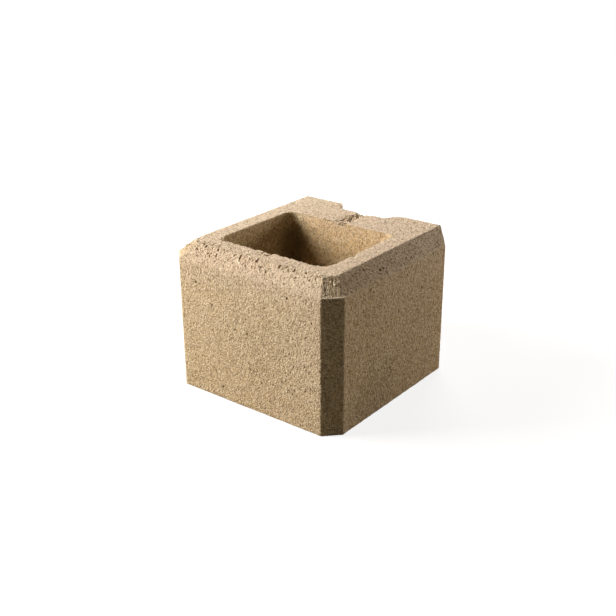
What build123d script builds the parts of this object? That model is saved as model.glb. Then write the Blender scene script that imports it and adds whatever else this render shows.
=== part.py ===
from build123d import *
import os

# Fence block: one wall unit cast in one piece of dense, sand-coloured concrete.
# It stands on its bed as laid. Sizes are in millimetres. The origin is the
# centre of the underside, +X runs along the fair front face, -Y points out of
# that face, +Y points out of the jointing face with the key groove, and +Z is up.

# Overall size
length = 200.0
width = 200.0
height = 150.0

# Chamfer of the four upright edges, measured along each face
upright_chamfer = 15.0

# Chamfer along the top of the front and of both ends, above a narrow ledge
top_chamfer_run = 16.0
top_chamfer_drop = 13.5
ledge_width = 1.2
top_corner_cut = 9.0

# Hollow core, open at both beds, a little narrower at the bottom
end_wall = 35.0
front_wall = 35.0
back_wall = 55.0
core_corner_radius = 12.0
core_draft = 1.5

# Key groove, full height, in the middle of the jointing face
groove_mouth = 73.0
groove_floor = 53.0
groove_depth = 16.0
groove_corner_radius = 2.0

# How far a cutting form runs past the face that it opens
overrun = 10.0

# Where the faces lie
end_face = length / 2
front_face = -width / 2
joint_face = width / 2
ledge_height = height - top_chamfer_drop


def outline_with_cut_corners(inset, front_cut, back, back_cut, level):
    """Horizontal face inside the plan, with its front and back corners cut off."""
    side = end_face - inset
    front = front_face + inset
    return Pos(0, 0, level) * make_face(
        Polyline(
            (-side + front_cut, front),
            (side - front_cut, front),
            (side, front + front_cut),
            (side, back - back_cut),
            (side - back_cut, back),
            (-side + back_cut, back),
            (-side, back - back_cut),
            (-side, front + front_cut),
            close=True,
        )
    )


def plan_prism(top):
    """Upright block with its four upright edges chamfered."""
    plan = outline_with_cut_corners(0, upright_chamfer, joint_face, upright_chamfer, 0)
    return extrude(plan, amount=top)


def open_backed_outline(inset, front_cut, level):
    """Horizontal face that is inset on three sides and runs out past the joint."""
    side = end_face - inset
    front = front_face + inset
    back = joint_face + overrun
    return Pos(0, 0, level) * make_face(
        Polyline(
            (-side + front_cut, front),
            (side - front_cut, front),
            (side, front + front_cut),
            (side, back),
            (-side, back),
            (-side, front + front_cut),
            close=True,
        )
    )


def chamfered_cap():
    """Top of the block: chamfered on three sides, square to the jointing face."""
    # Setting a cut corner in by the ledge on all its three sides shortens the cut
    ledge_corner_cut = upright_chamfer - ledge_width * (2 - 2 ** 0.5)
    foot = open_backed_outline(ledge_width, ledge_corner_cut, ledge_height)
    bed = open_backed_outline(top_chamfer_run, top_corner_cut, height)
    return loft([foot, bed], ruled=True) & plan_prism(height)


def core_outline(level):
    """Rounded opening of the core at one level, following the draft of its walls."""
    draft = core_draft * (1 - level / height)
    opening_length = length - 2 * (end_wall + draft)
    opening_width = width - front_wall - back_wall - 2 * draft
    centre = (front_wall - back_wall) / 2
    return Pos(0, centre, level) * RectangleRounded(opening_length, opening_width, core_corner_radius)


def core():
    """Cutting form of the hollow core."""
    return loft([core_outline(-overrun), core_outline(height + overrun)])


def key_groove():
    """Cutting form of the groove, with rounded corners at its floor."""
    flare = (groove_mouth - groove_floor) / 2 / groove_depth
    floor = joint_face - groove_depth
    past_joint = joint_face + overrun
    half_past_joint = groove_mouth / 2 + flare * overrun
    section = make_face(
        Polyline(
            (-groove_floor / 2, floor),
            (groove_floor / 2, floor),
            (half_past_joint, past_joint),
            (-half_past_joint, past_joint),
            close=True,
        )
    )
    floor_corners = section.vertices().group_by(Axis.Y)[0]
    section = fillet(floor_corners, radius=groove_corner_radius)
    return extrude(Pos(0, 0, -overrun) * section, amount=height + 2 * overrun)


fence_block = plan_prism(ledge_height) + chamfered_cap() - core() - key_groove()
fence_block.label = "fence_block"

os.makedirs("parts", exist_ok=True)
export_step(fence_block, "parts/fence_block.step")
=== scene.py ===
"""Fence block: the rough-cast skin, the sand grains in it, and the stage it is shown on."""

import itertools
import math
from functools import reduce

import bmesh
import bpy
from bpy.props import FloatProperty, FloatVectorProperty, IntProperty, PointerProperty
from mathutils import Matrix, Vector


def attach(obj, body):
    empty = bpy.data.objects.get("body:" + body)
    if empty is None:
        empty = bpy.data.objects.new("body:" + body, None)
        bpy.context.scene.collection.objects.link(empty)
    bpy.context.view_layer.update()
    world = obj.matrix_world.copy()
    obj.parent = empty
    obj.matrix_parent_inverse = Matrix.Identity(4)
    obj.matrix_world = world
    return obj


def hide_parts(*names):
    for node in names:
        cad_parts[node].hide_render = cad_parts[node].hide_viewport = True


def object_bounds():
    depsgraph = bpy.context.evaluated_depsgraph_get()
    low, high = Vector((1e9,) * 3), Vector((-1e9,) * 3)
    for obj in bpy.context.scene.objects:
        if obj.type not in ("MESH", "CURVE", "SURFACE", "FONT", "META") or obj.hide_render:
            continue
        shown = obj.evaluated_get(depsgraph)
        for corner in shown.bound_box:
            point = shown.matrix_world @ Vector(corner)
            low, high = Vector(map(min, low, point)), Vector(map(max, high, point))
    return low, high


bl_info = {
    "name": "Fence Block",
    "version": (1, 0, 0),
    "blender": (4, 5, 0),
    "location": "View3D > Sidebar > Fence Block",
    "description": "Casts a rough, sand-coloured concrete fence block around its solid",
    "category": "Object",
}

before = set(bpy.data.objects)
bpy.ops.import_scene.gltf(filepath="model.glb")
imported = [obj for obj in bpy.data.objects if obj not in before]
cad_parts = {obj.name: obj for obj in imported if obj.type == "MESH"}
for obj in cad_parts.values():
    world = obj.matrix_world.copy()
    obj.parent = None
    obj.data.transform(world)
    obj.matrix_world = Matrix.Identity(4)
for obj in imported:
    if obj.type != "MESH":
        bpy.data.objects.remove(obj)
CAD_LOW, CAD_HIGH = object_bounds()

# The piece that is replaced, and the names that the pieces share
NODE = "fence_block"
BODY = "root"
SKIN = "cast_block"
SAND = "sand_grains"
CRUMBS = "crumbs"

# Where the block's faces lie, in metres
END = CAD_HIGH.x
FRONT = CAD_LOW.y
JOINT = CAD_HIGH.y
TOP = CAD_HIGH.z
CORE_FRONT = FRONT + 0.035
CORE_BACK = JOINT - 0.055
CORE_END = END - 0.035

# Distance from a face to the inner edge of the chamfer above it
CHAMFER_REACH = 0.0165

# The corner facets: height of the ledge at their foot, and the line that they lean back along
LEDGE = 0.1365
FACET_LEAN = 1.8
FACET_FOOT = 0.1833 + FACET_LEAN * LEDGE

# Widths of the finish's patterns, from slow clouds down to single grains, in metres
CLOUDS = 0.060
BLOTCHES = 0.011
PIT_CROWDS = 0.026
PIT_SPACING = 0.0026
COARSE_SAND = 0.0016
GRIT = 0.0012
FINE_SAND = 0.00078

# How the finish's pattern is squeezed: less along Y and Z, and least up the corner facets
SQUEEZE_Y = 0.70
SQUEEZE_Z = 0.71
SQUEEZE_ON_FACET = 0.65

# What sets the patterns of two seeds apart: a step for noise, and a shift for cells
NOISE_STEP = 3.7
CELL_SHIFT = (0.731, 0.417, 0.913)

# A grain turns freely, and sits this share of its radius deep in the skin
FULL_TURN = 6.28
GRAIN_DEPTH = 0.35

# Attributes that the relief leaves on the skin for its finish
# The first of them carries painted shade into the pores, cracks, slots and gaps
HOLLOW_SHADE = "hollow"
BROKEN = "broken"
CRUMBLY = "crumbly"
TONE = "tone"

# A single piece stays under this many triangles
PIECE_LIMIT = 200000


class Graph:
    """Short ways to add nodes to a tree and to join them."""

    def __init__(self, tree):
        self.tree = tree

    def feed(self, socket, value):
        """Gives a socket a value, or a link where the value is another socket."""
        if isinstance(value, bpy.types.NodeSocket):
            self.tree.links.new(value, socket)
        else:
            socket.default_value = value

    def node(self, kind, inputs=None, **settings):
        """Adds a node with its settings, and feeds the sockets named by identifier."""
        node = self.tree.nodes.new(kind)
        for name, value in settings.items():
            setattr(node, name, value)
        for key, value in (inputs or {}).items():
            socket = next(s for s in node.inputs if s.identifier == key)
            self.feed(socket, value)
        return node

    def math(self, operation, *values):
        """Result of a sum on numbers."""
        node = self.node("ShaderNodeMath", operation=operation)
        for socket, value in zip(node.inputs, values):
            self.feed(socket, value)
        return node.outputs[0]

    def through(self, operation, values):
        """One operation run through several numbers."""
        return reduce(lambda result, value: self.math(operation, result, value), values)

    def total(self, *values):
        """Sum of several numbers."""
        return self.through("ADD", values)

    def product(self, *values):
        """Product of several numbers."""
        return self.through("MULTIPLY", values)

    def most(self, *values):
        """Largest of several numbers."""
        return self.through("MAXIMUM", values)

    def rest(self, value):
        """What a number lacks to one."""
        return self.math("SUBTRACT", 1.0, value)

    def vector(self, operation, *values, scale=None):
        """Result of a sum on vectors: a number for a length, distance or dot product."""
        node = self.node("ShaderNodeVectorMath", operation=operation)
        for socket, value in zip(node.inputs, values):
            self.feed(socket, value)
        if scale is not None:
            self.feed(node.inputs[3], scale)
        gives_number = operation in ("LENGTH", "DISTANCE", "DOT_PRODUCT")
        return node.outputs[1] if gives_number else node.outputs[0]

    def ramp(self, value, start, end, low=0.0, high=1.0):
        """Smooth step from low at start to high at end."""
        node = self.node(
            "ShaderNodeMapRange",
            {"Value": value, "From Min": start, "From Max": end, "To Min": low, "To Max": high},
            interpolation_type="SMOOTHSTEP",
        )
        return node.outputs[0]

    def noise(self, place, size, detail=2.0, seed=0, roughness=0.5):
        """Soft noise from 0 to 1 whose largest lumps are about size metres wide."""
        values = {
            "Vector": place,
            "W": seed * NOISE_STEP,
            "Scale": 1 / size,
            "Detail": detail,
            "Roughness": roughness,
        }
        return self.node("ShaderNodeTexNoise", values, noise_dimensions="4D").outputs[0]

    def cells(self, place, size, seed=0):
        """Distance in cells, and three random numbers for each cell of about size metres."""
        shift = [seed * part for part in CELL_SHIFT]
        values = {"Vector": self.vector("ADD", place, shift), "Scale": 1 / size}
        node = self.node("ShaderNodeTexVoronoi", values)
        return node.outputs["Distance"], self.axes(node.outputs["Color"])

    def axes(self, place):
        """The three coordinates of a place."""
        return self.node("ShaderNodeSeparateXYZ", {"Vector": place}).outputs

    def joined(self, x, y, z):
        """Place with three coordinates."""
        return self.node("ShaderNodeCombineXYZ", {"X": x, "Y": y, "Z": z}).outputs[0]


def new_tree(name, inputs):
    """Geometry tree with named inputs, the geometry first, and its graph and input sockets."""
    tree = bpy.data.node_groups.new(name, "GeometryNodeTree")
    tree.interface.new_socket("Geometry", in_out="INPUT", socket_type="NodeSocketGeometry")
    for label, default in inputs.items():
        kind = "NodeSocketInt" if isinstance(default, int) else "NodeSocketFloat"
        item = tree.interface.new_socket(label, in_out="INPUT", socket_type=kind)
        item.default_value = default
    tree.interface.new_socket("Geometry", in_out="OUTPUT", socket_type="NodeSocketGeometry")
    graph = Graph(tree)
    return tree, graph, graph.node("NodeGroupInput").outputs


def end_tree(graph, geometry, material):
    """Ends a tree: instances are made real and the finish is put on."""
    real = graph.node("GeometryNodeRealizeInstances", {"Geometry": geometry})
    finished = graph.node(
        "GeometryNodeSetMaterial", {"Geometry": real.outputs[0], "Material": material}
    )
    end = graph.node("NodeGroupOutput")
    graph.feed(end.inputs[0], finished.outputs[0])


def add_tree(piece, tree, values):
    """Hangs a tree on a piece, with its inputs set by identifier."""
    modifier = piece.modifiers.new(tree.name, "NODES")
    modifier.node_group = tree
    for item in tree.interface.items_tree:
        if item.in_out == "INPUT" and item.name in values:
            modifier[item.identifier] = values[item.name]


def make_plain(piece):
    """Turns a piece's evaluated modifiers into its own plain mesh."""
    bpy.context.view_layer.update()
    seen = piece.evaluated_get(bpy.context.evaluated_depsgraph_get())
    mesh = bpy.data.meshes.new_from_object(seen)
    piece.modifiers.clear()
    piece.data = mesh
    return mesh


def new_piece(name, mesh):
    """Object at the origin that shows a mesh."""
    piece = bpy.data.objects.new(name, mesh)
    bpy.context.scene.collection.objects.link(piece)
    return piece


def triangles(mesh):
    """How many triangles a mesh comes to."""
    mesh.calc_loop_triangles()
    return len(mesh.loop_triangles)


def merged_copy(node, name):
    """Copy of a solid's mesh with its loose triangles joined up."""
    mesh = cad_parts[node].data.copy()
    mesh.name = name
    work = bmesh.new()
    work.from_mesh(mesh)
    bmesh.ops.remove_doubles(work, verts=work.verts, dist=1e-6)
    work.to_mesh(mesh)
    work.free()
    return new_piece(name, mesh)


def hold_in_box(mesh):
    """Brings points that thinning has pushed out of the solid's box back to its sides."""
    for vertex in mesh.vertices:
        vertex.co = [
            min(max(value, low), high)
            for value, low, high in zip(vertex.co, CAD_LOW, CAD_HIGH)
        ]


# The marks that can be told apart on the real block: middle, half sizes and depth in metres.
# One with a minus depth stands up where other relief has sunk the skin.
MARKS = {
    "crack, notch and chunks at the middle of the core's front rim": (
        ((-0.0015, -0.0752, TOP), (0.0068, 0.0014, 0.004), 0.0036),
        ((0.002, -0.072, TOP), (0.0026, 0.002, 0.004), 0.0026),
        ((0.003, -0.0672, TOP), (0.0022, 0.0042, 0.008), 0.0056),
        ((-0.009, -0.068, TOP), (0.005, 0.0032, 0.004), -0.001),
        ((0.0085, -0.0675, TOP), (0.004, 0.003, 0.004), -0.001),
        ((-0.0165, -0.066, TOP), (0.0022, 0.003, 0.005), 0.0022),
    ),
    "bites and cracks to the left and right of them": (
        ((-0.026, CORE_FRONT, TOP), (0.0024, 0.002, 0.004), 0.0018),
        ((-0.034, CORE_FRONT, TOP), (0.002, 0.002, 0.004), 0.0016),
        ((-0.043, CORE_FRONT, TOP), (0.0028, 0.002, 0.004), 0.002),
        ((-0.057, -0.0645, TOP), (0.005, 0.003, 0.004), 0.0026),
        ((-0.055, -0.07, TOP), (0.0032, 0.0012, 0.003), 0.002),
        ((0.016, CORE_FRONT, TOP), (0.002, 0.0018, 0.004), 0.0016),
        ((0.0235, CORE_FRONT, TOP), (0.0018, 0.0016, 0.004), 0.0014),
        ((0.031, CORE_FRONT, TOP), (0.0022, 0.0016, 0.004), 0.0014),
        ((0.04, CORE_FRONT, TOP), (0.0022, 0.0018, 0.004), 0.0014),
    ),
    "crumb lost at the core's right side": (
        ((0.067, -0.026, TOP), (0.003, 0.003, 0.003), 0.0012),
    ),
    "pits of the left cluster": (
        ((-0.07, -0.089, 0.145), (0.0012, 0.0018, 0.0022), 0.002),
        ((-0.066, -0.084, TOP), (0.001, 0.0022, 0.0022), 0.0022),
        ((-0.062, -0.0856, 0.1486), (0.0008, 0.0022, 0.0024), 0.0022),
        ((-0.057, -0.081, TOP), (0.0009, 0.0024, 0.0024), 0.002),
        ((-0.0535, -0.085, 0.149), (0.0008, 0.0022, 0.0022), 0.002),
        ((-0.05, -0.079, TOP), (0.001, 0.0022, 0.0022), 0.0018),
    ),
    "slots, pits and pores along the front of the bed": (
        ((-0.046, -0.086, 0.148), (0.0008, 0.0026, 0.0026), 0.0022),
        ((-0.0455, -0.089, 0.145), (0.0009, 0.0014, 0.0014), 0.0014),
        ((-0.036, -0.084, TOP), (0.0008, 0.0026, 0.0026), 0.0022),
        ((-0.08, -0.076, TOP), (0.0014, 0.0018, 0.002), 0.0016),
        ((-0.076, -0.082, TOP), (0.0012, 0.0018, 0.002), 0.0016),
        ((-0.0183, -0.0858, 0.149), (0.0008, 0.0034, 0.0034), 0.003),
        ((-0.0057, -0.0936, 0.1425), (0.0009, 0.0013, 0.0013), 0.0014),
        ((0.0017, -0.0858, 0.149), (0.0008, 0.0034, 0.0034), 0.003),
        ((0.017, -0.0916, 0.143), (0.0009, 0.0015, 0.0015), 0.0016),
        ((0.028, -0.0853, 0.149), (0.001, 0.003, 0.003), 0.0028),
        ((0.032, -0.0867, 0.148), (0.0008, 0.0018, 0.0018), 0.0016),
        ((0.035, -0.084, TOP), (0.0008, 0.0022, 0.0022), 0.002),
        ((0.038, -0.0795, TOP), (0.0009, 0.0018, 0.0018), 0.0018),
        ((0.045, -0.0854, 0.149), (0.0008, 0.0024, 0.0024), 0.0022),
        ((0.058, -0.0845, 0.1495), (0.0013, 0.0017, 0.0017), 0.0026),
        ((0.0645, -0.089, 0.145), (0.0009, 0.0016, 0.0016), 0.0018),
        ((0.07, -0.087, 0.147), (0.0008, 0.0016, 0.0016), 0.0014),
        ((0.074, -0.085, TOP), (0.0024, 0.002, 0.0024), 0.0014),
    ),
    "grooves on the corner facet": (
        ((0.0834, -0.0912, 0.1414), (0.001, 0.001, 0.004), 0.0012),
        ((0.0917, -0.0793, 0.1433), (0.0012, 0.0012, 0.003), 0.0014),
    ),
    "pores on the right chamfer": (
        ((0.0938, -0.022, 0.141), (0.0016, 0.0012, 0.0016), 0.0016),
        ((0.0937, -0.016, 0.141), (0.0016, 0.0012, 0.0016), 0.0016),
        ((0.088, 0.013, 0.146), (0.0016, 0.0012, 0.0016), 0.0014),
        ((0.089, -0.0405, 0.1456), (0.0018, 0.001, 0.0018), 0.0014),
    ),
    "pits on the back of the bed": (
        ((0.061, 0.089, TOP), (0.0019, 0.0019, 0.0019), 0.0018),
        ((0.067, 0.074, TOP), (0.0026, 0.0018, 0.002), 0.001),
        ((0.036, 0.05, TOP), (0.0014, 0.0014, 0.0014), 0.0012),
    ),
    "pores on the right end": (
        ((END, -0.045, 0.1305), (0.0014, 0.0012, 0.002), 0.0014),
        ((END, -0.04, 0.127), (0.0014, 0.0011, 0.0018), 0.0012),
        ((END, 0.061, 0.134), (0.0014, 0.0012, 0.002), 0.0014),
        ((END, 0.043, 0.105), (0.0014, 0.0011, 0.0017), 0.0012),
        ((END, -0.052, 0.1076), (0.0014, 0.0011, 0.0017), 0.0012),
        ((END, -0.01, 0.039), (0.0014, 0.0012, 0.0018), 0.0013),
    ),
    "pores on the front": (
        ((0.048, FRONT, 0.127), (0.0015, 0.0014, 0.002), 0.0016),
        ((-0.064, FRONT, 0.116), (0.0011, 0.0014, 0.0018), 0.0013),
        ((0.021, FRONT, 0.111), (0.0011, 0.0014, 0.0016), 0.0012),
        ((-0.044, FRONT, 0.097), (0.0011, 0.0014, 0.0018), 0.0013),
        ((0.068, FRONT, 0.094), (0.0011, 0.0014, 0.0017), 0.0013),
        ((0.0, FRONT, 0.079), (0.0011, 0.0014, 0.0016), 0.0013),
        ((-0.016, FRONT, 0.079), (0.0012, 0.0014, 0.0018), 0.0014),
        ((0.016, FRONT, 0.033), (0.0011, 0.0014, 0.0017), 0.0013),
        ((-0.034, FRONT, 0.013), (0.0012, 0.0014, 0.0017), 0.0014),
    ),
    "wear at the key groove": (
        ((0.0372, JOINT + 0.0005, TOP), (0.005, 0.003, 0.016), 0.0016),
        ((-0.03, 0.089, TOP), (0.0024, 0.003, 0.004), 0.0016),
        ((0.003, 0.0835, TOP), (0.011, 0.003, 0.006), 0.0026),
    ),
    "gaps in the strip behind the core": (
        ((-0.004, 0.0535, TOP), (0.002, 0.0022, 0.004), 0.0024),
        ((0.0005, 0.051, TOP), (0.0016, 0.0022, 0.004), 0.0024),
        ((-0.0035, 0.0625, TOP), (0.0016, 0.003, 0.004), 0.0022),
        ((0.003, 0.0615, TOP), (0.0018, 0.0034, 0.004), 0.003),
        ((0.0015, 0.069, TOP), (0.0018, 0.003, 0.004), 0.003),
        ((0.001, 0.075, TOP), (0.0018, 0.0026, 0.004), 0.0024),
    ),
    "crumbs that stand up in that strip": (
        ((-0.002, 0.048, TOP), (0.002, 0.0022, 0.005), -0.003),
        ((0.006, 0.0505, TOP), (0.0024, 0.0024, 0.005), -0.003),
        ((-0.0055, 0.0575, TOP), (0.002, 0.0024, 0.005), -0.003),
        ((-0.0005, 0.058, TOP), (0.0018, 0.0022, 0.005), -0.003),
        ((-0.0055, 0.0765, TOP), (0.0024, 0.003, 0.005), -0.003),
    ),
}

# Rough strips that the core's hanger bar leaves on the bed: middle, half sizes and depth
BAR_STRIPS = {
    "back strip": ((0.0, 0.063), (0.006, 0.019), 0.0022),
    "front strip": ((-0.004, -0.069), (0.008, 0.003), 0.001),
}


def length(name, description, default, least=0.0):
    """Property that is a length in metres."""
    return FloatProperty(
        name=name, description=description, default=default, min=least, unit="LENGTH"
    )


def whole(name, description, default, least=0):
    """Property that is a whole number."""
    return IntProperty(name=name, description=description, default=default, min=least)


def colour(name, description, default):
    """Property that is a colour of three parts."""
    return FloatVectorProperty(
        name=name, description=description, default=default, size=3, subtype="COLOR", min=0, max=1
    )


class CastSettings(bpy.types.PropertyGroup):
    """Sizes of the cast skin's relief."""

    cell: length("Cell", "Spacing of the points that hold the relief", 0.0006, 0.0004)
    most_triangles: whole(
        "Most Triangles", "The finished skin is thinned to this many triangles", 192000, 1000
    )
    grain_size: length("Grain Size", "Width of the sand's unevenness", 0.0016, 0.0001)
    grain_height: length("Grain Height", "Height of the sand's unevenness", 0.00032)
    sag_height: length("Sag Height", "Height of the slow waviness of the faces", 0.00015)
    pore_spacing: length("Pore Spacing", "Typical distance between pores", 0.0062, 0.0001)
    pore_depth: length("Pore Depth", "Depth of the deepest small pores", 0.0013)
    wear_width: length("Wear Width", "How far from an arris its wear reaches", 0.0022)
    wear_depth: length("Wear Depth", "How deep an arris is worn", 0.0007)
    rim_depth: length("Rim Chipping", "How deep the core's front rim is chipped", 0.0022)
    seed: whole("Seed", "Number behind all that is random", 11)


def grain_properties(spacing, smallest, largest, seed):
    """Properties that say how grains are spread."""
    return {
        "spacing": length("Spacing", "Least distance between two grains", spacing, 0.0001),
        "smallest": length("Smallest", "Radius of the smallest grains", smallest),
        "largest": length("Largest", "Radius of the largest grains", largest),
        "seed": whole("Seed", "Number behind all that is random", seed),
    }


class SandSettings(bpy.types.PropertyGroup):
    """The sand grains that stand out of the skin."""

    __annotations__ = grain_properties(0.0040, 0.00032, 0.00072, 5)


class CrumbSettings(bpy.types.PropertyGroup):
    """The crumbs where the bed is broken."""

    __annotations__ = grain_properties(0.0021, 0.00075, 0.00170, 8)


class FinishSettings(bpy.types.PropertyGroup):
    """Colours of the sand-coloured concrete, some of them painted shade."""

    paste: colour("Paste", "Cement and fine sand of the faces", (0.562, 0.414, 0.243))
    paste_pale: colour("Pale Paste", "Paste where the lime shows", (0.630, 0.478, 0.300))
    paste_dark: colour("Dark Paste", "Paste where it is denser", (0.450, 0.322, 0.182))
    pale_grain: colour("Pale Grains", "Quartz and shell grains", (0.790, 0.650, 0.460))
    dark_grain: colour("Dark Grains", "Iron-stained and grey grains", (0.235, 0.160, 0.090))
    powder: colour("Powder", "Powdery paste round the bed", (0.645, 0.485, 0.355))
    ochre: colour("Ochre", "Paste towards the foot", (0.560, 0.380, 0.185))
    core_paste: colour("Core", "Paste inside the core", (0.655, 0.425, 0.160))
    # Painted shade: a darker colour on the core's left wall, which faces away from the key lamp
    core_shade: colour("Core Left Shade", "Paste on the core's left wall", (0.405, 0.343, 0.148))
    # Painted shade: darkens the core's left back corner and its walls deeper down
    painted_core_shade: colour("Painted Shade", "Damp paste in the core's back corner", (0.170, 0.118, 0.050))
    # Painted shade: the dark colour that stands in for the shade inside pores, pits, cracks and
    # gaps
    pore_and_shade: colour("Pore Shade", "Floor of the pores", (0.130, 0.085, 0.048))
    fresh: colour("Broken Face", "Concrete laid bare by a chip", (0.640, 0.500, 0.330))


class StageSettings(bpy.types.PropertyGroup):
    """Camera, lamps and floor."""

    focal_length: FloatProperty(
        name="Focal Length",
        description="Lens of the camera, for a frame 36 mm wide, in millimetres",
        default=56.65,
        min=1,
    )
    camera_place: FloatVectorProperty(
        name="Camera Place",
        description="Where the camera stands",
        default=(0.5485, -0.7098, 0.4579),
        size=3,
        unit="LENGTH",
    )
    camera_turn: FloatVectorProperty(
        name="Camera Turn",
        description="Yaw, downward pitch and roll of the camera",
        default=(math.radians(38.03), math.radians(23.30), math.radians(0.30)),
        size=3,
        unit="ROTATION",
    )
    power: FloatProperty(
        name="Power", description="Factor on the power of all lamps", default=1.0, min=0
    )
    floor_size: length("Floor Size", "Width of the pale floor", 14.0)


def edge_lines(graph, arrises):
    """Sharp outward edges of the solid, and those of the core's rim at the top."""

    def parted(geometry, chosen):
        values = {"Geometry": geometry, "Selection": chosen}
        return graph.node("GeometryNodeSeparateGeometry", values, domain="EDGE").outputs[0]

    solid = graph.node("GeometryNodeObjectInfo", {"Object": arrises}).outputs["Geometry"]
    angle = graph.node("GeometryNodeInputMeshEdgeAngle").outputs["Signed Angle"]
    arris = parted(solid, graph.math("GREATER_THAN", angle, math.radians(25)))
    x, y, z = graph.axes(graph.node("GeometryNodeInputPosition").outputs[0])
    clear = 0.003
    inside = graph.product(
        graph.math("LESS_THAN", graph.math("ABSOLUTE", x), CORE_END + clear),
        graph.math("GREATER_THAN", y, CORE_FRONT - clear),
        graph.math("LESS_THAN", y, CORE_BACK + clear),
        graph.math("GREATER_THAN", z, TOP - clear),
    )
    return arris, parted(arris, inside)


def distance_to(graph, lines):
    """Distance of each point of the skin from some edges."""
    near = graph.node("GeometryNodeProximity", {"Target": lines}, target_element="EDGES")
    return near.outputs["Distance"]


def facet_mask(graph, axes):
    """One on the small facets where a top chamfer turns the corner."""
    x, y, z = axes
    corner = graph.math("SUBTRACT", graph.math("ABSOLUTE", x), y)
    lean = graph.math("MULTIPLY_ADD", z, FACET_LEAN, corner)
    return graph.product(
        graph.ramp(lean, FACET_FOOT - 0.0012, FACET_FOOT - 0.0002),
        graph.ramp(z, LEDGE + 0.0002, LEDGE + 0.0012),
    )


def strip_mask(graph, axes, middle, half):
    """One inside a rough strip of the bed, and a soft fall to zero at its edges."""
    x, y, z = axes
    soft = 0.003
    over = []
    for value, centre, reach in zip((x, y), middle, half):
        away = graph.math("ABSOLUTE", graph.math("SUBTRACT", value, centre))
        over.append(graph.ramp(away, reach + soft, reach - soft))
    return graph.product(*over, graph.ramp(z, TOP - 0.006, TOP - 0.002))


def inside_core(graph, axes):
    """One on the walls of the core, and zero outside it."""
    x, y, _ = axes
    out, into = 0.0012, 0.0002
    return graph.product(
        graph.ramp(graph.math("ABSOLUTE", x), CORE_END + out, CORE_END - into),
        graph.ramp(y, CORE_FRONT - out, CORE_FRONT + into),
        graph.ramp(y, CORE_BACK + out, CORE_BACK - into),
    )


def painted_core_shade_share(graph, axes, place):
    """Painted shade on the core's walls: most in its left back corner, and more deeper down."""
    z = axes[2]
    level = graph.vector("MULTIPLY", place, (1.0, 1.0, 0.0))
    to_nook = graph.vector("DISTANCE", level, (-CORE_END, CORE_BACK, 0.0))
    nook = graph.product(
        graph.ramp(to_nook, 0.030, 0.006), graph.ramp(z, TOP - 0.004, TOP - 0.026), 0.80
    )
    painted_core_shade = graph.total(nook, graph.ramp(z, TOP - 0.004, TOP - 0.038, 0.0, 0.20))
    return graph.product(painted_core_shade, inside_core(graph, axes))


def shaken(graph, place):
    """Place shaken by a fine noise, so that smooth marks get ragged outlines."""
    shake = graph.node(
        "ShaderNodeTexNoise", {"Vector": place, "Scale": 380.0, "Detail": 2.0}
    ).outputs["Color"]
    centred = graph.vector("SUBTRACT", shake, (0.5, 0.5, 0.5))
    return graph.vector("ADD", place, graph.vector("SCALE", centred, scale=0.0016))


def bent(graph, place):
    """Place bent by a wider noise, so that pores and crumbs aren't round."""
    bend = graph.node("ShaderNodeTexNoise", {"Vector": place, "Scale": 260.0}).outputs["Color"]
    return graph.vector("ADD", place, graph.vector("SCALE", bend, scale=0.0010))


def drawn_out(graph, place, axes, ratio):
    """Place squeezed along the way the mould was lifted, so that pores there are drawn out."""
    x, y, _ = axes
    inner = END - CHAMFER_REACH
    at_front = graph.math("LESS_THAN", y, -inner)
    at_end = graph.math("GREATER_THAN", graph.math("ABSOLUTE", x), inner)
    at_end = graph.product(at_end, graph.rest(at_front))
    squeeze = graph.joined(
        graph.math("MULTIPLY_ADD", at_end, 1 / ratio - 1, 1.0),
        graph.math("MULTIPLY_ADD", at_front, 1 / ratio - 1, 1.0),
        1 / ratio,
    )
    return graph.vector("MULTIPLY", place, squeeze)


def pores(graph, place, spacing, share, radius, seed, flat=0.35):
    """Depth from 0 to 1 of round pores, each of its own size, in a share of the cells."""
    distance, (size, luck, depth) = graph.cells(place, spacing, seed)
    there = graph.math("LESS_THAN", luck, share)
    reach = graph.math("MULTIPLY_ADD", size, radius * 0.65, radius * 0.35)
    bowl = graph.ramp(distance, reach, graph.product(reach, flat))
    return graph.product(bowl, there, graph.math("MULTIPLY_ADD", depth, 0.6, 0.4))


def pored(graph, place, axes, cast, by_front_bed):
    """Depth from 0 to 1 of all pores: small, large, and crowded ones along the front bed."""
    drawn = drawn_out(graph, bent(graph, place), axes, 2.2)
    crowd = graph.ramp(graph.noise(place, 0.022, 2, cast.seed + 9), 0.42, 0.62, 0.25, 0.85)
    by_left = graph.ramp(axes[0], -0.045, -0.020, 0.90, 0.28)
    small = pores(graph, drawn, cast.pore_spacing, crowd, 0.15, cast.seed + 3)
    large = pores(graph, drawn, cast.pore_spacing * 3.3, 0.25, 0.070, cast.seed + 4)
    extra = pores(graph, drawn, cast.pore_spacing * 0.55, by_left, 0.28, cast.seed + 5)
    return graph.most(graph.product(small, 0.8), large, graph.product(extra, by_front_bed, 1.3))


def lumpy(graph, place, axes, cast, on_facet):
    """Lumps of sand: coarser round the front of the bed, smooth on the facets."""
    _, y, z = axes
    lumps = graph.total(
        graph.product(graph.noise(place, cast.grain_size, 3, cast.seed), 0.7),
        graph.product(graph.noise(place, cast.grain_size * 3, 2, cast.seed + 1), 0.3),
    )
    patchy = graph.ramp(graph.noise(place, 0.018, 2, cast.seed + 11), 0.38, 0.62, 0.55, 1.15)
    coarsest = 1.7
    edge = FRONT + TOP
    coarser = graph.math(
        "MINIMUM",
        graph.ramp(graph.math("ADD", y, z), edge + 0.036, edge + 0.020, 1.0, coarsest),
        graph.ramp(z, TOP - 0.014, TOP - 0.006, 1.0, coarsest),
    )
    smoother = graph.math("MULTIPLY_ADD", on_facet, -0.75, 1.0)
    return graph.product(graph.ramp(lumps, 0.70, 0.30), patchy, coarser, smoother)


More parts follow.
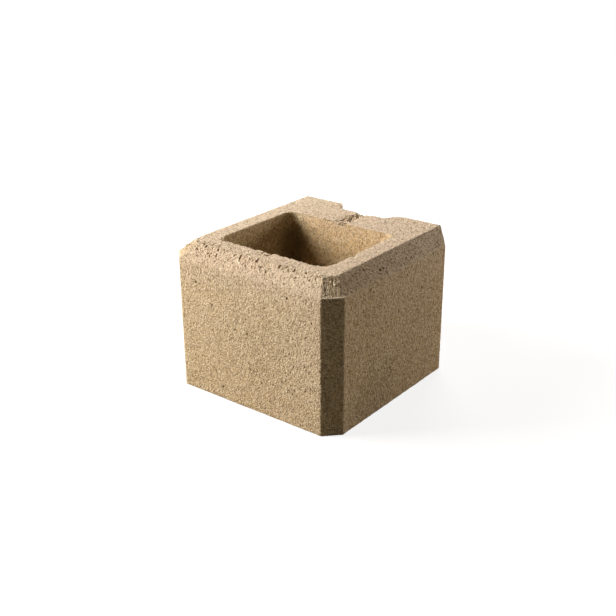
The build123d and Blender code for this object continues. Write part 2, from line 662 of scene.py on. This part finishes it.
def worn_away(graph, place, axes, seed, worn, to_rim):
    """Share of the wear on the arrises: least at the foot, most round the bed."""
    _, y, z = axes
    to_front = graph.ramp(y, FRONT + 0.060, FRONT + 0.030, 0.45, 1.0)
    to_bed = graph.ramp(z, TOP - 0.004, TOP - 0.001, 0.3, to_front)
    uneven = graph.ramp(graph.noise(place, 0.006, 3, seed + 6), 0.35, 0.75, 0.15, 1.0)
    spared = graph.ramp(to_rim, 0.001, 0.004, 0.30, 1.0)
    return graph.product(worn, uneven, to_bed, spared)


def bitten(graph, place, axes, seed, to_rim):
    """Share of the bites out of the core's rim, deepest along the front."""
    at_front = graph.ramp(axes[1], CORE_FRONT + 0.020, CORE_FRONT + 0.004, 0.2, 1.0)
    bites = graph.ramp(graph.noise(place, 0.0042, 2, seed + 7), 0.48, 0.60)
    return graph.product(graph.ramp(to_rim, 0.0026, 0.0004), bites, at_front)


def torn(graph, axes, seed, on_facet):
    """Depth of the streaks down the facets, torn by the lifted mould: most on the right."""
    x, y, z = axes
    across = graph.total(graph.math("ABSOLUTE", x), y)
    along = graph.joined(across, graph.product(x, 0.10), graph.product(z, 0.14))
    streak = graph.ramp(graph.noise(along, 0.0019, 2, seed + 10), 0.38, 0.62)
    return graph.product(streak, on_facet, graph.ramp(x, -0.01, 0.01, 0.00022, 0.00038))


def crumbled(graph, place, axes, seed):
    """Depth of the crumbled strips across the bed, and how far a point is in them."""
    crack, (height, _, _) = graph.cells(bent(graph, place), 0.0034, seed + 8)
    crumb = graph.ramp(crack, 0.38, 0.62, graph.product(height, 0.45), 1.0)
    zones = [strip_mask(graph, axes, middle, half) for middle, half, _ in BAR_STRIPS.values()]
    depths = [
        graph.product(zone, crumb, strip[2]) for zone, strip in zip(zones, BAR_STRIPS.values())
    ]
    return graph.total(*depths), graph.total(*zones)


def mark_depth(graph, place):
    """Depth of the marks that can be told apart on the real block."""
    depths = []
    for middle, half, depth in itertools.chain(*MARKS.values()):
        away = graph.vector("DIVIDE", graph.vector("SUBTRACT", place, middle), half)
        depths.append(graph.ramp(graph.vector("LENGTH", away), 1.0, 0.25, 0.0, depth))
    return graph.total(*depths)


def feed_named(graph, node, values):
    """Feeds the shown sockets of a node that changes its sockets with its data type."""
    for name, value in values.items():
        socket = next(s for s in node.inputs if s.name == name and s.enabled)
        graph.feed(socket, value)


def store(graph, geometry, name, value, domain="POINT"):
    """Keeps a number on each point or instance under a name."""
    values = {"Geometry": geometry, "Name": name, "Value": value}
    settings = {"data_type": "FLOAT", "domain": domain}
    return graph.node("GeometryNodeStoreNamedAttribute", values, **settings).outputs[0]


def relief_tree(inputs, cast, material, arrises):
    """Tree that sinks the smooth faces into a rough, pored, worn casting."""
    tree, graph, given = new_tree("Rough Casting", inputs)
    place = graph.node("GeometryNodeInputPosition").outputs[0]
    axes = graph.axes(place)
    x, y, z = axes
    arris, rim = edge_lines(graph, arrises)
    to_rim = distance_to(graph, rim)
    worn = graph.ramp(distance_to(graph, arris), given["Wear Width"], 0.0)
    on_facet = facet_mask(graph, axes)
    by_front_bed = graph.product(
        graph.ramp(z, TOP - 0.011, TOP - 0.005), graph.ramp(y, FRONT + 0.031, FRONT + 0.022)
    )

    grain = graph.product(lumpy(graph, place, axes, cast, on_facet), given["Grain Height"])
    sag = graph.product(graph.noise(place, 0.045, 2, cast.seed + 2), given["Sag Height"])
    pore_and_shade = pored(graph, place, axes, cast, by_front_bed)
    wear = worn_away(graph, place, axes, cast.seed, worn, to_rim)
    bite = graph.product(bitten(graph, place, axes, cast.seed, to_rim), given["Rim Chipping"])
    strip, strip_zone = crumbled(graph, place, axes, cast.seed)
    marked = graph.total(strip, mark_depth(graph, shaken(graph, place)))
    depth = graph.total(
        grain,
        sag,
        graph.product(pore_and_shade, given["Pore Depth"]),
        graph.product(wear, given["Wear Depth"]),
        bite,
        torn(graph, axes, cast.seed, on_facet),
        marked,
    )
    depth = graph.most(depth, 0.0)

    # The relief sinks along normals that turn slowly round the arrises
    normal = graph.node("GeometryNodeInputNormal").outputs[0]
    turned = graph.node("GeometryNodeBlurAttribute", data_type="FLOAT_VECTOR")
    feed_named(graph, turned, {"Value": normal, "Iterations": 8})
    inward = graph.vector("NORMALIZE", turned.outputs[0])
    offset = graph.vector("SCALE", inward, scale=graph.product(depth, -1.0))

    rough_bed = graph.product(by_front_bed, graph.ramp(x, -0.040, -0.010, 0.55, 0.18))
    left_on_skin = {
        # Painted shade for the pores and the sunk marks
        HOLLOW_SHADE: graph.most(pore_and_shade, graph.ramp(marked, 0.0005, 0.0019)),
        BROKEN: graph.total(graph.product(worn, 0.5), graph.ramp(bite, 0.0, 0.001), strip_zone),
        CRUMBLY: graph.most(strip_zone, rough_bed),
    }
    geometry = given["Geometry"]
    for name, value in left_on_skin.items():
        geometry = store(graph, geometry, name, value)
    moved = graph.node("GeometryNodeSetPosition", {"Geometry": geometry, "Offset": offset})
    end_tree(graph, moved.outputs[0], material)
    return tree


def grain_tree(name, inputs, material, detail, crowding=None):
    """Tree that presses grains into the skin, crowded where a number on the skin is high."""
    tree, graph, given = new_tree(name, inputs)
    scatter = graph.node(
        "GeometryNodeDistributePointsOnFaces",
        {"Mesh": given["Geometry"], "Seed": given["Seed"]},
        distribute_method="POISSON",
    )
    feed_named(graph, scatter, {"Distance Min": given["Spacing"], "Density Max": 400000.0})
    if crowding:
        crowd = graph.node("GeometryNodeInputNamedAttribute", {"Name": crowding}, data_type="FLOAT")
        feed_named(graph, scatter, {"Density Factor": crowd.outputs[0]})
    grain = graph.node("GeometryNodeMeshIcoSphere", {"Radius": 1.0, "Subdivisions": detail})

    def random(low, high, seed):
        node = graph.node("FunctionNodeRandomValue", {"Seed": seed}, data_type="FLOAT")
        feed_named(graph, node, {"Min": low, "Max": high})
        return next(s for s in node.outputs if s.enabled)

    def random_vector(seed, *limits):
        return graph.joined(*(random(*pair, seed + step) for step, pair in enumerate(limits)))

    radius = random(given["Smallest"], given["Largest"], 3)
    shape = random_vector(4, (0.8, 1.3), (0.7, 1.1), (0.6, 0.9))
    turn = random_vector(7, *[(0, FULL_TURN)] * 3)
    sunk = graph.product(radius, -GRAIN_DEPTH)
    offset = graph.vector("SCALE", scatter.outputs["Normal"], scale=sunk)
    set_in = graph.node(
        "GeometryNodeSetPosition", {"Geometry": scatter.outputs["Points"], "Offset": offset}
    )
    placed = graph.node(
        "GeometryNodeInstanceOnPoints",
        {
            "Points": set_in.outputs[0],
            "Instance": grain.outputs[0],
            "Rotation": turn,
            "Scale": graph.vector("SCALE", shape, scale=radius),
        },
    )
    toned = store(graph, placed.outputs[0], TONE, random(0.0, 1.0, 10), "INSTANCE")
    real = graph.node("GeometryNodeRealizeInstances", {"Geometry": toned})
    place = graph.node("GeometryNodeInputPosition").outputs[0]
    kept = graph.vector("MINIMUM", graph.vector("MAXIMUM", place, CAD_LOW), CAD_HIGH)
    held = graph.node("GeometryNodeSetPosition", {"Geometry": real.outputs[0], "Position": kept})
    end_tree(graph, held.outputs[0], material)
    return tree


def mixed(graph, factor, *colours):
    """Colour between two colours, each a socket or three numbers."""
    first, second = (
        item if isinstance(item, bpy.types.NodeSocket) else (*item, 1.0) for item in colours
    )
    values = {"Factor_Float": factor, "A_Color": first, "B_Color": second}
    return graph.node("ShaderNodeMix", values, data_type="RGBA").outputs[2]


def new_material(name):
    """Material with its graph, its surface shader and the place on the piece."""
    material = bpy.data.materials.new(name)
    material.use_nodes = True
    graph = Graph(material.node_tree)
    place = graph.node("ShaderNodeTexCoord").outputs["Object"]
    return material, graph, material.node_tree.nodes["Principled BSDF"], place


def shade_of(graph, name):
    """Number that the relief left on the skin."""
    return graph.node("ShaderNodeAttribute", attribute_name=name).outputs["Fac"]


def mottled_paste(graph, place, finish, blotches):
    """Cement paste whose tone changes slowly."""
    clouds = graph.noise(place, CLOUDS, 3, 1)
    mottle = graph.total(graph.product(clouds, 0.5), graph.product(blotches, 0.5))
    base = mixed(graph, graph.ramp(mottle, 0.50, 0.70), finish.paste, finish.paste_pale)
    return mixed(graph, graph.ramp(mottle, 0.50, 0.30), base, finish.paste_dark)


def powder_share(graph, axes, ragged, on_facet):
    """How powdery the paste is: round the bed, by the near corner, not on the right facet."""
    x, y, _ = axes
    bare = graph.product(on_facet, graph.ramp(x, -0.01, 0.01, 0.35, 0.90))
    round_bed = graph.ramp(ragged, TOP - 0.042, TOP + 0.006, 0.0, 0.72)
    by_corner = graph.product(
        graph.ramp(x, 0.000, 0.085, 0.0, 0.32), graph.ramp(y, FRONT + 0.020, FRONT + 0.005)
    )
    by_arris = graph.product(
        graph.ramp(x, END - 0.004, END - 0.002), graph.ramp(y, -0.071, -0.080, 0.0, 0.55)
    )
    return graph.most(graph.product(round_bed, graph.rest(bare)), by_corner, by_arris)


def ochre_share(graph, axes, ragged, on_facet, at_end):
    """How ochre the paste is: at the foot, far left, near on the right end, on the facets."""
    x, y, _ = axes
    return graph.most(
        graph.ramp(ragged, 0.10, 0.0, 0.0, 0.35),
        graph.ramp(x, -0.070, -0.100, 0.0, 0.35),
        graph.product(at_end, graph.ramp(y, 0.010, -0.060, 0.0, 0.30)),
        graph.product(on_facet, 0.90),
    )


def pale_and_painted_light_share(graph, axes, on_facet, at_end, on_bed):
    """How pale the paste is: painted light on the left of the bed, where the top is lit more, and
    paler high on the front and the right end.
    """
    x, y, z = axes
    off_bed = graph.rest(on_bed)
    front = graph.product(
        graph.ramp(y, FRONT + 0.018, FRONT + 0.012),
        graph.ramp(x, 0.000, 0.080, 0.0, 0.30),
        graph.ramp(z, 0.130, 0.140),
        off_bed,
        graph.rest(on_facet),
    )
    end = graph.product(
        at_end, graph.ramp(y, -0.040, 0.080, 0.0, 0.45), graph.ramp(z, 0.128, 0.140), off_bed
    )
    # Painted light: the left of the bed made paler, as the lamps light it more there
    bed = graph.product(on_bed, graph.ramp(x, -0.030, -0.095, 0.0, 0.34))
    return graph.total(bed, front, end)


def stain_and_painted_shade_share(graph, place, axes, blotches, on_facet, on_bed):
    """How dim the paste is: a stain low on the right end, painted shade on the front and right of
    the bed, and dimmer facets.
    """
    x, y, _ = axes
    from_stain = graph.vector("DISTANCE", place, (END, -0.034, 0.020))
    ragged = graph.math("MULTIPLY_ADD", blotches, 0.03, from_stain)
    # Painted shade: the bed darker along its front and to the right, where it is lit less
    painted_bed_shade = graph.most(
        graph.ramp(y, -0.060, -0.076, 0.0, 0.09), graph.ramp(x, 0.010, 0.070, 0.0, 0.05)
    )
    return graph.most(
        graph.ramp(ragged, 0.070, 0.025, 0.0, 0.36),
        graph.product(on_bed, painted_bed_shade),
        graph.product(on_facet, 0.22),
    )


def squeezed(graph, axes, on_facet):
    """Place for the finish's pattern, drawn out along the way the mould was lifted."""
    x, y, z = axes
    above = graph.product(graph.math("SUBTRACT", z, LEDGE), on_facet, SQUEEZE_ON_FACET)
    height = graph.product(graph.math("SUBTRACT", z, above), SQUEEZE_Z)
    return graph.joined(x, graph.product(y, SQUEEZE_Y), height)


def ledge_highlight(graph, axes):
    """Painted highlight: one on the line along the ledge at the top of the upright chamfers, where
    its upward face catches the light.
    """
    x, y, z = axes
    from_ledge = graph.math("ABSOLUTE", graph.math("SUBTRACT", z, LEDGE))
    corner = graph.math("SUBTRACT", graph.math("ABSOLUTE", x), y)
    return graph.product(
        graph.ramp(from_ledge, 0.0012, 0.0004, 0.0, 0.7), graph.ramp(corner, 0.181, 0.184)
    )


def sand_concrete(finish):
    """Sand-coloured concrete: mottled paste, sand of many tones, painted shade in the pores, pits,
    core and near bed, and painted light on the left of the bed and along the ledge.
    """
    material, graph, shader, place = new_material("sand_concrete")
    axes = graph.axes(place)
    x, _, z = axes
    blotches = graph.noise(place, BLOTCHES, 3, 2)
    ragged = graph.math("MULTIPLY_ADD", blotches, 0.014, z)
    on_facet = facet_mask(graph, axes)
    on_bed = graph.ramp(z, TOP - 0.003, TOP - 0.001)
    at_end = graph.ramp(x, END - CHAMFER_REACH, END - CHAMFER_REACH + 0.001)

    # Ochre inside the core, with painted shade on its left wall
    to_right = graph.ramp(x, -CORE_END, -CORE_END + 0.030)
    core = mixed(graph, to_right, finish.core_shade, finish.core_paste)

    # Sand of many tones, and a crowd of tiny pits, fewest at the far left
    drawn = squeezed(graph, axes, on_facet)
    coarse, (kind, _, _) = graph.cells(drawn, COARSE_SAND, 3)
    fine, (kind_fine, _, _) = graph.cells(drawn, FINE_SAND, 4)
    pale_sand = graph.most(
        graph.ramp(kind, 0.80, 0.88, 0.0, 0.38), graph.ramp(kind_fine, 0.74, 0.84, 0.0, 0.72)
    )
    dark_sand = graph.most(
        graph.ramp(kind, 0.17, 0.10, 0.0, 0.34), graph.ramp(kind_fine, 0.27, 0.14, 0.0, 0.82)
    )
    crowd = graph.ramp(graph.noise(place, PIT_CROWDS, 2, 8), 0.40, 0.60, 0.30, 0.90)
    crowd = graph.product(crowd, graph.ramp(x, -0.095, -0.020, 0.45, 1.0))
    pit = pores(graph, drawn, PIT_SPACING, crowd, 0.36, 7, 0.70)

    # Each tint lies over those before it
    base = mottled_paste(graph, place, finish, blotches)
    for share, tint in (
        (powder_share(graph, axes, ragged, on_facet), finish.powder),
        (ochre_share(graph, axes, ragged, on_facet, at_end), finish.ochre),
        (pale_and_painted_light_share(graph, axes, on_facet, at_end, on_bed), finish.pale_grain),
        (stain_and_painted_shade_share(graph, place, axes, blotches, on_facet, on_bed), finish.dark_grain),
        (graph.product(inside_core(graph, axes), 0.6), core),
        (pale_sand, finish.pale_grain),
        (dark_sand, finish.dark_grain),
        # Painted shade in the tiny pits
        (graph.product(pit, 0.88), finish.pore_and_shade),
        # Painted shade in the core's back corner and deeper in the core
        (painted_core_shade_share(graph, axes, place), finish.painted_core_shade),
        # Painted highlight along the ledge
        (ledge_highlight(graph, axes), finish.pale_grain),
        (graph.product(shade_of(graph, BROKEN), 0.40), finish.fresh),
        # Painted shade in the pores, cracks, slots and gaps
        (graph.product(shade_of(graph, HOLLOW_SHADE), 0.55), finish.pore_and_shade),
    ):
        base = mixed(graph, share, base, tint)
    graph.feed(shader.inputs["Base Color"], base)

    height = graph.total(
        graph.product(graph.noise(drawn, GRIT, 3, 5, 0.6), 0.9),
        graph.product(coarse, -0.35),
        graph.product(fine, -0.30),
        graph.product(pit, -0.55),
    )
    bump = graph.node("ShaderNodeBump", {"Height": height, "Distance": 0.0012, "Strength": 0.9})
    graph.feed(shader.inputs["Normal"], bump.outputs[0])
    graph.feed(shader.inputs["Roughness"], graph.ramp(kind, 0.1, 0.95, 0.96, 0.84))
    shader.inputs["Specular IOR Level"].default_value = 0.25
    return material


def grain_finish(name, finish, pale_from, dark_to):
    """Single grains, each of its own tone: pale from one number on, dark up to another; the core's
    painted shade lies on them too.
    """
    material, graph, shader, place = new_material(name)
    tone = shade_of(graph, TONE)
    base = mixed(graph, graph.ramp(tone, 0.25, 0.75), finish.paste_dark, finish.paste_pale)
    for share, tint in (
        (graph.ramp(tone, pale_from, pale_from + 0.06), finish.pale_grain),
        (graph.ramp(tone, dark_to, dark_to - 0.06), finish.dark_grain),
        # Painted shade in the core's back corner, on the grains too
        (painted_core_shade_share(graph, graph.axes(place), place), finish.painted_core_shade),
    ):
        base = mixed(graph, share, base, tint)
    graph.feed(shader.inputs["Base Color"], base)
    rough = graph.ramp(graph.noise(place, 0.0006, 2, 6), 0.3, 0.7, 0.6, 0.9)
    graph.feed(shader.inputs["Roughness"], rough)
    shader.inputs["Specular IOR Level"].default_value = 0.35
    return material


class FENCEBLOCK_OT_cast_skin(bpy.types.Operator):
    """Cast the block's rough skin over its solid"""

    bl_idname = "fence_block.cast_skin"
    bl_label = "Cast the Block"

    def execute(self, context):
        cast = context.scene.fence_block_cast
        inputs = {
            "Grain Height": cast.grain_height,
            "Sag Height": cast.sag_height,
            "Pore Depth": cast.pore_depth,
            "Wear Width": cast.wear_width,
            "Wear Depth": cast.wear_depth,
            "Rim Chipping": cast.rim_depth,
        }
        material = sand_concrete(context.scene.fence_block_finish)
        arrises = merged_copy(NODE, "arrises")
        skin = merged_copy(NODE, SKIN)
        remesh = skin.modifiers.new("cells", "REMESH")
        remesh.mode = "VOXEL"
        remesh.voxel_size = cast.cell
        remesh.use_smooth_shade = True
        add_tree(skin, relief_tree(inputs, cast, material, arrises), inputs)
        mesh = make_plain(skin)
        if not mesh.polygons:
            raise RuntimeError("the skin came out empty")
        thin = skin.modifiers.new("thin", "DECIMATE")
        thin.ratio = min(1.0, cast.most_triangles / triangles(mesh))
        thin.use_collapse_triangulate = True
        mesh = make_plain(skin)
        hold_in_box(mesh)
        mesh.polygons.foreach_set("use_smooth", [True] * len(mesh.polygons))
        mesh.set_sharp_from_angle(angle=math.radians(34))
        bpy.data.objects.remove(arrises)
        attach(skin, BODY)
        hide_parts(NODE)
        return {"FINISHED"}


def press_grains(name, material, sizes, detail, crowding=None):
    """Piece of single grains that a tree spreads over the skin."""
    inputs = {
        "Spacing": sizes.spacing,
        "Smallest": sizes.smallest,
        "Largest": sizes.largest,
        "Seed": sizes.seed,
    }
    grains = new_piece(name, bpy.data.objects[SKIN].data.copy())
    add_tree(grains, grain_tree(name, inputs, material, detail, crowding), inputs)
    mesh = make_plain(grains)
    if not 0 < triangles(mesh) < PIECE_LIMIT:
        raise RuntimeError(f"{name} has {triangles(mesh)} triangles")
    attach(grains, BODY)


class FENCEBLOCK_OT_press_sand(bpy.types.Operator):
    """Press sand grains into the block's skin"""

    bl_idname = "fence_block.press_sand"
    bl_label = "Press In the Sand"

    def execute(self, context):
        scene = context.scene
        finish = grain_finish("sand", scene.fence_block_finish, 0.86, 0.16)
        press_grains(SAND, finish, scene.fence_block_sand, 1)
        return {"FINISHED"}


class FENCEBLOCK_OT_strew_crumbs(bpy.types.Operator):
    """Strew crumbs where the bar has broken the bed and along its front edge"""

    bl_idname = "fence_block.strew_crumbs"
    bl_label = "Strew the Crumbs"

    def execute(self, context):
        scene = context.scene
        finish = grain_finish("crumb", scene.fence_block_finish, 0.38, 0.12)
        press_grains(CRUMBS, finish, scene.fence_block_crumbs, 2, CRUMBLY)
        return {"FINISHED"}


# Lamps: compass angle and height angle in degrees, distance, width, height, watts, colour
LAMPS = {
    "key": (-52, 29, 1.6, 0.65, 0.90, 45.8, (1.0, 0.97, 0.93)),
    "right edge": (147, 11, 1.6, 0.7, 0.6, 13.7, (1.0, 0.90, 0.79)),
    "left back": (-152, 25, 1.6, 1.0, 0.7, 23.0, (1.0, 0.98, 0.97)),
}


def add_lamp(name, compass, height_angle, distance, width, height, power, tint):
    """Softbox that looks at the middle of the block."""
    data = bpy.data.lights.new(name, "AREA")
    data.shape = "RECTANGLE"
    data.size = width
    data.size_y = height
    data.energy = power
    data.color = tint
    lamp = bpy.data.objects.new(name, data)
    turn, lift = math.radians(compass), math.radians(height_angle)
    away = Vector(
        (math.sin(turn) * math.cos(lift), -math.cos(turn) * math.cos(lift), math.sin(lift))
    )
    lamp.location = Vector((0, 0, TOP / 2)) + distance * away
    lamp.rotation_euler = (-away).to_track_quat("-Z", "Y").to_euler()
    bpy.context.scene.collection.objects.link(lamp)


def seen_rays(graph):
    """One for rays from the camera and for those mirrored or bent on their way."""
    path = graph.node("ShaderNodeLightPath").outputs
    return graph.most(*(path[f"Is {kind} Ray"] for kind in ("Camera", "Glossy", "Transmission")))


def floor_finish():
    """White floor that keeps a faint shadow near the block and throws little light back."""
    material, graph, shader, place = new_material("pale_floor")
    shader.inputs["Roughness"].default_value = 1.0
    shader.inputs["Specular IOR Level"].default_value = 0.0
    shader.inputs["Emission Color"].default_value = (1, 1, 1, 1)
    seen = seen_rays(graph)
    glow = graph.ramp(graph.vector("LENGTH", place), 0.25, 0.80, 0.84, 1.0)
    graph.feed(shader.inputs["Emission Strength"], graph.product(seen, glow))
    bounce, shown = (0.30, 0.28, 0.22), (0.22, 0.22, 0.22)
    graph.feed(shader.inputs["Base Color"], mixed(graph, seen, bounce, shown))
    return material


def white_world():
    """White to the camera, and next to dark as a light."""
    world = bpy.data.worlds.new("studio")
    world.use_nodes = True
    graph = Graph(world.node_tree)
    background = world.node_tree.nodes["Background"]
    background.inputs["Color"].default_value = (1, 1, 1, 1)
    graph.feed(background.inputs["Strength"], seen_rays(graph))
    bpy.context.scene.world = world


class FENCEBLOCK_OT_set_stage(bpy.types.Operator):
    """Set the pale floor, the soft lamps and the camera"""

    bl_idname = "fence_block.set_stage"
    bl_label = "Set the Stage"

    def execute(self, context):
        stage = context.scene.fence_block_stage
        scene = context.scene
        work = bmesh.new()
        bmesh.ops.create_grid(work, x_segments=1, y_segments=1, size=stage.floor_size / 2)
        mesh = bpy.data.meshes.new("floor")
        work.to_mesh(mesh)
        work.free()
        mesh.materials.append(floor_finish())
        floor = new_piece("floor", mesh)
        for name, values in LAMPS.items():
            *place, power, tint = values
            add_lamp(name, *place, power * stage.power, tint)
        white_world()
        camera = bpy.data.objects.new("camera", bpy.data.cameras.new("camera"))
        scene.collection.objects.link(camera)
        camera.data.lens = stage.focal_length
        camera.data.sensor_width = 36.0
        camera.data.clip_start = 0.01
        yaw, pitch, roll = stage.camera_turn
        camera.matrix_world = (
            Matrix.Translation(stage.camera_place)
            @ Matrix.Rotation(yaw, 4, "Z")
            @ Matrix.Rotation(math.radians(90) - pitch, 4, "X")
            @ Matrix.Rotation(-roll, 4, "Z")
        )
        scene.camera = camera
        scene.view_settings.view_transform = "Standard"
        return {"FINISHED"}


class FENCEBLOCK_PT_sidebar(bpy.types.Panel):
    """Lists the block's operators and settings"""

    bl_idname = "FENCEBLOCK_PT_sidebar"
    bl_label = "Fence Block"
    bl_space_type = "VIEW_3D"
    bl_region_type = "UI"
    bl_category = "Fence Block"

    def draw(self, context):
        scene = context.scene
        for operator, settings in (
            (FENCEBLOCK_OT_cast_skin, scene.fence_block_cast),
            (FENCEBLOCK_OT_press_sand, scene.fence_block_sand),
            (FENCEBLOCK_OT_strew_crumbs, scene.fence_block_crumbs),
            (FENCEBLOCK_OT_set_stage, scene.fence_block_stage),
        ):
            box = self.layout.box()
            box.operator(operator.bl_idname)
            for name in settings.__annotations__:
                box.prop(settings, name)
        box = self.layout.box()
        for name in scene.fence_block_finish.__annotations__:
            box.prop(scene.fence_block_finish, name)


SETTINGS = {
    "fence_block_cast": CastSettings,
    "fence_block_sand": SandSettings,
    "fence_block_crumbs": CrumbSettings,
    "fence_block_finish": FinishSettings,
    "fence_block_stage": StageSettings,
}
CLASSES = (
    *SETTINGS.values(),
    FENCEBLOCK_OT_cast_skin,
    FENCEBLOCK_OT_press_sand,
    FENCEBLOCK_OT_strew_crumbs,
    FENCEBLOCK_OT_set_stage,
    FENCEBLOCK_PT_sidebar,
)


def register():
    """Registers the classes and hangs the settings on the scene."""
    for item in CLASSES:
        bpy.utils.register_class(item)
    for name, group in SETTINGS.items():
        setattr(bpy.types.Scene, name, PointerProperty(type=group))


def unregister():
    """Takes the settings and the classes away again."""
    for name in SETTINGS:
        delattr(bpy.types.Scene, name)
    for item in reversed(CLASSES):
        bpy.utils.unregister_class(item)


def main():
    """Builds the block and its stage."""
    register()
    bpy.ops.fence_block.cast_skin()
    bpy.ops.fence_block.press_sand()
    bpy.ops.fence_block.strew_crumbs()
    bpy.ops.fence_block.set_stage()


if __name__ == "__main__":
    main()
